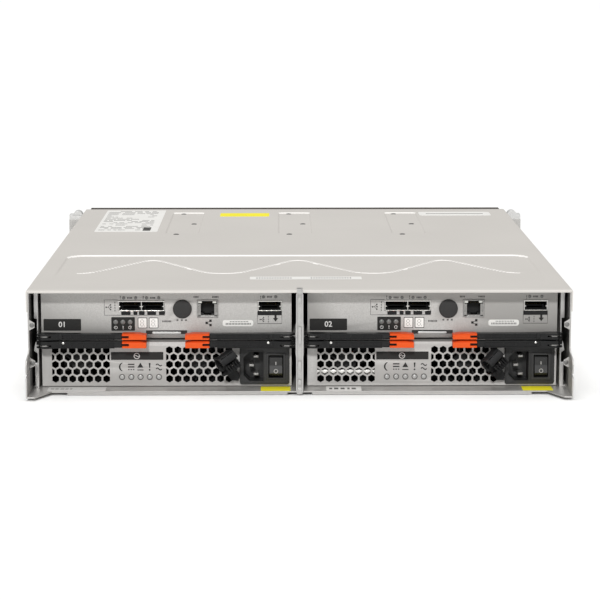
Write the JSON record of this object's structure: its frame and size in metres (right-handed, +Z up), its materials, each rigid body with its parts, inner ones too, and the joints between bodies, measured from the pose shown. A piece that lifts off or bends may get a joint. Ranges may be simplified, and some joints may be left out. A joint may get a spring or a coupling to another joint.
{
  "type": "disk shelf enclosure",
  "caption": "Two-unit rack shelf for disk drives, with sliding service and power canisters at its rear and sliding drive carriers at its front.",
  "frame": {"origin": "middle of the footprint, on the resting plane", "axes": "+X to the right when the rear is faced, +Y from the rear towards the drive fronts, +Z up"},
  "size_m": [0.4826, 0.582, 0.0882],
  "materials": {
    "chassis_steel": "satin",
    "cover_steel": "satin",
    "bright_steel": "satin",
    "canister_steel": "satin",
    "black_plastic": "matte",
    "latch_orange": "satin",
    "port_metal": "satin",
    "circuit_board": "satin",
    "cap_plastic": "matte",
    "drive_black": "matte"
  },
  "bodies": {
    "chassis": {"chassis_tray": "chassis_steel", "top_cover": "cover_steel", "center_divider": "bright_steel", "bay_guides": "bright_steel", "bay_shelves": "chassis_steel", "drive_cage": "chassis_steel", "midplane_board": "circuit_board", "rack_ears": "chassis_steel", "ear_caps": "cap_plastic", "chassis_screws": "bright_steel"},
    "esm_left": {"esm_left_housing": "canister_steel", "esm_left_faceplate": "canister_steel", "esm_left_board": "circuit_board", "esm_left_ports": "port_metal"},
    "psu_left": {"psu_left_housing": "canister_steel", "psu_left_faceplate": "canister_steel", "psu_left_inlet": "black_plastic"},
    "esm_left_lever_1": {"esm_left_lever_1": "black_plastic"},
    "esm_left_latch_1": {"esm_left_latch_1": "latch_orange"},
    "esm_left_lever_2": {"esm_left_lever_2": "black_plastic"},
    "esm_left_latch_2": {"esm_left_latch_2": "latch_orange"},
    "psu_left_lever_1": {"psu_left_lever_1": "black_plastic"},
    "psu_left_latch_1": {"psu_left_latch_1": "latch_orange"},
    "psu_left_lever_2": {"psu_left_lever_2": "black_plastic"},
    "psu_left_latch_2": {"psu_left_latch_2": "latch_orange"},
    "psu_left_rocker": {"psu_left_rocker": "black_plastic"},
    "psu_left_cord_clip": {"psu_left_cord_clip": "black_plastic"},
    "psu_left_fan_1": {"psu_left_fan_1": "black_plastic"},
    "psu_left_fan_2": {"psu_left_fan_2": "black_plastic"},
    "esm_right": {"esm_right_housing": "canister_steel", "esm_right_faceplate": "canister_steel", "esm_right_board": "circuit_board", "esm_right_ports": "port_metal"},
    "psu_right": {"psu_right_housing": "canister_steel", "psu_right_faceplate": "canister_steel", "psu_right_inlet": "black_plastic"},
    "esm_right_lever_1": {"esm_right_lever_1": "black_plastic"},
    "esm_right_latch_1": {"esm_right_latch_1": "latch_orange"},
    "esm_right_lever_2": {"esm_right_lever_2": "black_plastic"},
    "esm_right_latch_2": {"esm_right_latch_2": "latch_orange"},
    "psu_right_lever_1": {"psu_right_lever_1": "black_plastic"},
    "psu_right_latch_1": {"psu_right_latch_1": "latch_orange"},
    "psu_right_lever_2": {"psu_right_lever_2": "black_plastic"},
    "psu_right_latch_2": {"psu_right_latch_2": "latch_orange"},
    "psu_right_rocker": {"psu_right_rocker": "black_plastic"},
    "psu_right_cord_clip": {"psu_right_cord_clip": "black_plastic"},
    "psu_right_fan_1": {"psu_right_fan_1": "black_plastic"},
    "psu_right_fan_2": {"psu_right_fan_2": "black_plastic"},
    "drive_1_1": {"drive_1_1": "drive_black"},
    "drive_1_2": {"drive_1_2": "drive_black"},
    "drive_1_3": {"drive_1_3": "drive_black"},
    "drive_2_1": {"drive_2_1": "drive_black"},
    "drive_2_2": {"drive_2_2": "drive_black"},
    "drive_2_3": {"drive_2_3": "drive_black"},
    "drive_3_1": {"drive_3_1": "drive_black"},
    "drive_3_2": {"drive_3_2": "drive_black"},
    "drive_3_3": {"drive_3_3": "drive_black"},
    "drive_4_1": {"drive_4_1": "drive_black"},
    "drive_4_2": {"drive_4_2": "drive_black"},
    "drive_4_3": {"drive_4_3": "drive_black"}
  },
  "joints": [
    {"name": "esm_left_slide", "type": "slide", "parent": "chassis", "child": "esm_left", "axis": [0, -1, 0], "range_m": [0, 0.27]},
    {"name": "psu_left_slide", "type": "slide", "parent": "chassis", "child": "psu_left", "axis": [0, -1, 0], "range_m": [0, 0.27]},
    {"name": "esm_left_lever_1_hinge", "type": "hinge", "parent": "esm_left", "child": "esm_left_lever_1", "pos_m": [-0.2095, -0.26, 0.0477], "axis": [0, 0, -1], "range_deg": [0, 75]},
    {"name": "esm_left_latch_1_slide", "type": "slide", "parent": "esm_left_lever_1", "child": "esm_left_latch_1", "axis": [1, 0, 0], "range_m": [0, 0.003], "stiffness_N_per_m": 400},
    {"name": "esm_left_lever_2_hinge", "type": "hinge", "parent": "esm_left", "child": "esm_left_lever_2", "pos_m": [-0.0105, -0.26, 0.0477], "axis": [0, 0, 1], "range_deg": [0, 75]},
    {"name": "esm_left_latch_2_slide", "type": "slide", "parent": "esm_left_lever_2", "child": "esm_left_latch_2", "axis": [-1, 0, 0], "range_m": [0, 0.003], "stiffness_N_per_m": 400},
    {"name": "psu_left_lever_1_hinge", "type": "hinge", "parent": "psu_left", "child": "psu_left_lever_1", "pos_m": [-0.2095, -0.26, 0.0401], "axis": [0, 0, -1], "range_deg": [0, 75]},
    {"name": "psu_left_latch_1_slide", "type": "slide", "parent": "psu_left_lever_1", "child": "psu_left_latch_1", "axis": [1, 0, 0], "range_m": [0, 0.003], "stiffness_N_per_m": 400},
    {"name": "psu_left_lever_2_hinge", "type": "hinge", "parent": "psu_left", "child": "psu_left_lever_2", "pos_m": [-0.0105, -0.26, 0.0401], "axis": [0, 0, 1], "range_deg": [0, 75]},
    {"name": "psu_left_latch_2_slide", "type": "slide", "parent": "psu_left_lever_2", "child": "psu_left_latch_2", "axis": [-1, 0, 0], "range_m": [0, 0.003], "stiffness_N_per_m": 400},
    {"name": "psu_left_rocker_hinge", "type": "hinge", "parent": "psu_left", "child": "psu_left_rocker", "pos_m": [-0.0196, -0.2464, 0.02015], "axis": [1, 0, 0], "range_deg": [0, 18]},
    {"name": "psu_left_cord_clip_hinge", "type": "hinge", "parent": "psu_left", "child": "psu_left_cord_clip", "pos_m": [-0.0527, -0.249, 0.012], "axis": [0, -1, 0], "range_deg": [0, 55]},
    {"name": "psu_left_fan_1_spin", "type": "hinge", "parent": "psu_left", "child": "psu_left_fan_1", "pos_m": [-0.1813, -0.239, 0.02195], "axis": [0, 1, 0], "continuous": true},
    {"name": "psu_left_fan_2_spin", "type": "hinge", "parent": "psu_left", "child": "psu_left_fan_2", "pos_m": [-0.0832, -0.239, 0.02195], "axis": [0, 1, 0], "continuous": true},
    {"name": "esm_right_slide", "type": "slide", "parent": "chassis", "child": "esm_right", "axis": [0, -1, 0], "range_m": [0, 0.27]},
    {"name": "psu_right_slide", "type": "slide", "parent": "chassis", "child": "psu_right", "axis": [0, -1, 0], "range_m": [0, 0.27]},
    {"name": "esm_right_lever_1_hinge", "type": "hinge", "parent": "esm_right", "child": "esm_right_lever_1", "pos_m": [0.0105, -0.26, 0.0477], "axis": [0, 0, -1], "range_deg": [0, 75]},
    {"name": "esm_right_latch_1_slide", "type": "slide", "parent": "esm_right_lever_1", "child": "esm_right_latch_1", "axis": [1, 0, 0], "range_m": [0, 0.003], "stiffness_N_per_m": 400},
    {"name": "esm_right_lever_2_hinge", "type": "hinge", "parent": "esm_right", "child": "esm_right_lever_2", "pos_m": [0.2095, -0.26, 0.0477], "axis": [0, 0, 1], "range_deg": [0, 75]},
    {"name": "esm_right_latch_2_slide", "type": "slide", "parent": "esm_right_lever_2", "child": "esm_right_latch_2", "axis": [-1, 0, 0], "range_m": [0, 0.003], "stiffness_N_per_m": 400},
    {"name": "psu_right_lever_1_hinge", "type": "hinge", "parent": "psu_right", "child": "psu_right_lever_1", "pos_m": [0.0105, -0.26, 0.0401], "axis": [0, 0, -1], "range_deg": [0, 75]},
    {"name": "psu_right_latch_1_slide", "type": "slide", "parent": "psu_right_lever_1", "child": "psu_right_latch_1", "axis": [1, 0, 0], "range_m": [0, 0.003], "stiffness_N_per_m": 400},
    {"name": "psu_right_lever_2_hinge", "type": "hinge", "parent": "psu_right", "child": "psu_right_lever_2", "pos_m": [0.2095, -0.26, 0.0401], "axis": [0, 0, 1], "range_deg": [0, 75]},
    {"name": "psu_right_latch_2_slide", "type": "slide", "parent": "psu_right_lever_2", "child": "psu_right_latch_2", "axis": [-1, 0, 0], "range_m": [0, 0.003], "stiffness_N_per_m": 400},
    {"name": "psu_right_rocker_hinge", "type": "hinge", "parent": "psu_right", "child": "psu_right_rocker", "pos_m": [0.2004, -0.2464, 0.02015], "axis": [1, 0, 0], "range_deg": [0, 18]},
    {"name": "psu_right_cord_clip_hinge", "type": "hinge", "parent": "psu_right", "child": "psu_right_cord_clip", "pos_m": [0.1673, -0.249, 0.012], "axis": [0, -1, 0], "range_deg": [0, 55]},
    {"name": "psu_right_fan_1_spin", "type": "hinge", "parent": "psu_right", "child": "psu_right_fan_1", "pos_m": [0.0387, -0.239, 0.02195], "axis": [0, 1, 0], "continuous": true},
    {"name": "psu_right_fan_2_spin", "type": "hinge", "parent": "psu_right", "child": "psu_right_fan_2", "pos_m": [0.1368, -0.239, 0.02195], "axis": [0, 1, 0], "continuous": true},
    {"name": "drive_1_1_slide", "type": "slide", "parent": "chassis", "child": "drive_1_1", "axis": [0, 1, 0], "range_m": [0, 0.245]},
    {"name": "drive_1_2_slide", "type": "slide", "parent": "chassis", "child": "drive_1_2", "axis": [0, 1, 0], "range_m": [0, 0.245]},
    {"name": "drive_1_3_slide", "type": "slide", "parent": "chassis", "child": "drive_1_3", "axis": [0, 1, 0], "range_m": [0, 0.245]},
    {"name": "drive_2_1_slide", "type": "slide", "parent": "chassis", "child": "drive_2_1", "axis": [0, 1, 0], "range_m": [0, 0.245]},
    {"name": "drive_2_2_slide", "type": "slide", "parent": "chassis", "child": "drive_2_2", "axis": [0, 1, 0], "range_m": [0, 0.245]},
    {"name": "drive_2_3_slide", "type": "slide", "parent": "chassis", "child": "drive_2_3", "axis": [0, 1, 0], "range_m": [0, 0.245]},
    {"name": "drive_3_1_slide", "type": "slide", "parent": "chassis", "child": "drive_3_1", "axis": [0, 1, 0], "range_m": [0, 0.245]},
    {"name": "drive_3_2_slide", "type": "slide", "parent": "chassis", "child": "drive_3_2", "axis": [0, 1, 0], "range_m": [0, 0.245]},
    {"name": "drive_3_3_slide", "type": "slide", "parent": "chassis", "child": "drive_3_3", "axis": [0, 1, 0], "range_m": [0, 0.245]},
    {"name": "drive_4_1_slide", "type": "slide", "parent": "chassis", "child": "drive_4_1", "axis": [0, 1, 0], "range_m": [0, 0.245]},
    {"name": "drive_4_2_slide", "type": "slide", "parent": "chassis", "child": "drive_4_2", "axis": [0, 1, 0], "range_m": [0, 0.245]},
    {"name": "drive_4_3_slide", "type": "slide", "parent": "chassis", "child": "drive_4_3", "axis": [0, 1, 0], "range_m": [0, 0.245]}
  ]
}
